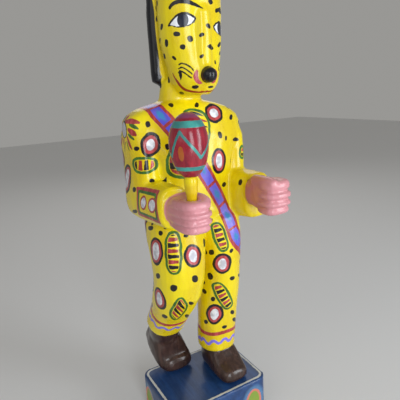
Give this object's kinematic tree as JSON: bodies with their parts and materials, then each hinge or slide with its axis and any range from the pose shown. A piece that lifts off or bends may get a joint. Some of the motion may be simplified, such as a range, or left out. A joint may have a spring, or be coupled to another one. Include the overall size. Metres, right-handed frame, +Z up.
{
  "type": "leopard carving",
  "caption": "Carved and painted wooden leopard dancer in a spotted suit, holding a maraca upright in its right fist, standing on a block plinth.",
  "frame": {"origin": "centre of the plinth's flat underside", "axes": "+Z up, -Y the way the dancer faces, and -X the side of its own right hand, which holds the maraca"},
  "size_m": [0.1203, 0.1486, 0.4428],
  "materials": {
    "figure_paint": "glossy brushed enamel over wood: yellow with painted spots, rings, sash and cuffs, pink hands, brown shoes and black hair",
    "maraca_paint": "glossy brushed enamel over wood: crimson with turquoise bands, on a yellow stick",
    "plinth_paint": "brushed dark-blue enamel over wood, with off-white lines along the top edges and painted ovals on the sides"
  },
  "bodies": {
    "root": {"figure": "figure_paint", "maraca": "maraca_paint", "plinth": "plinth_paint"}
  },
  "joints": []
}
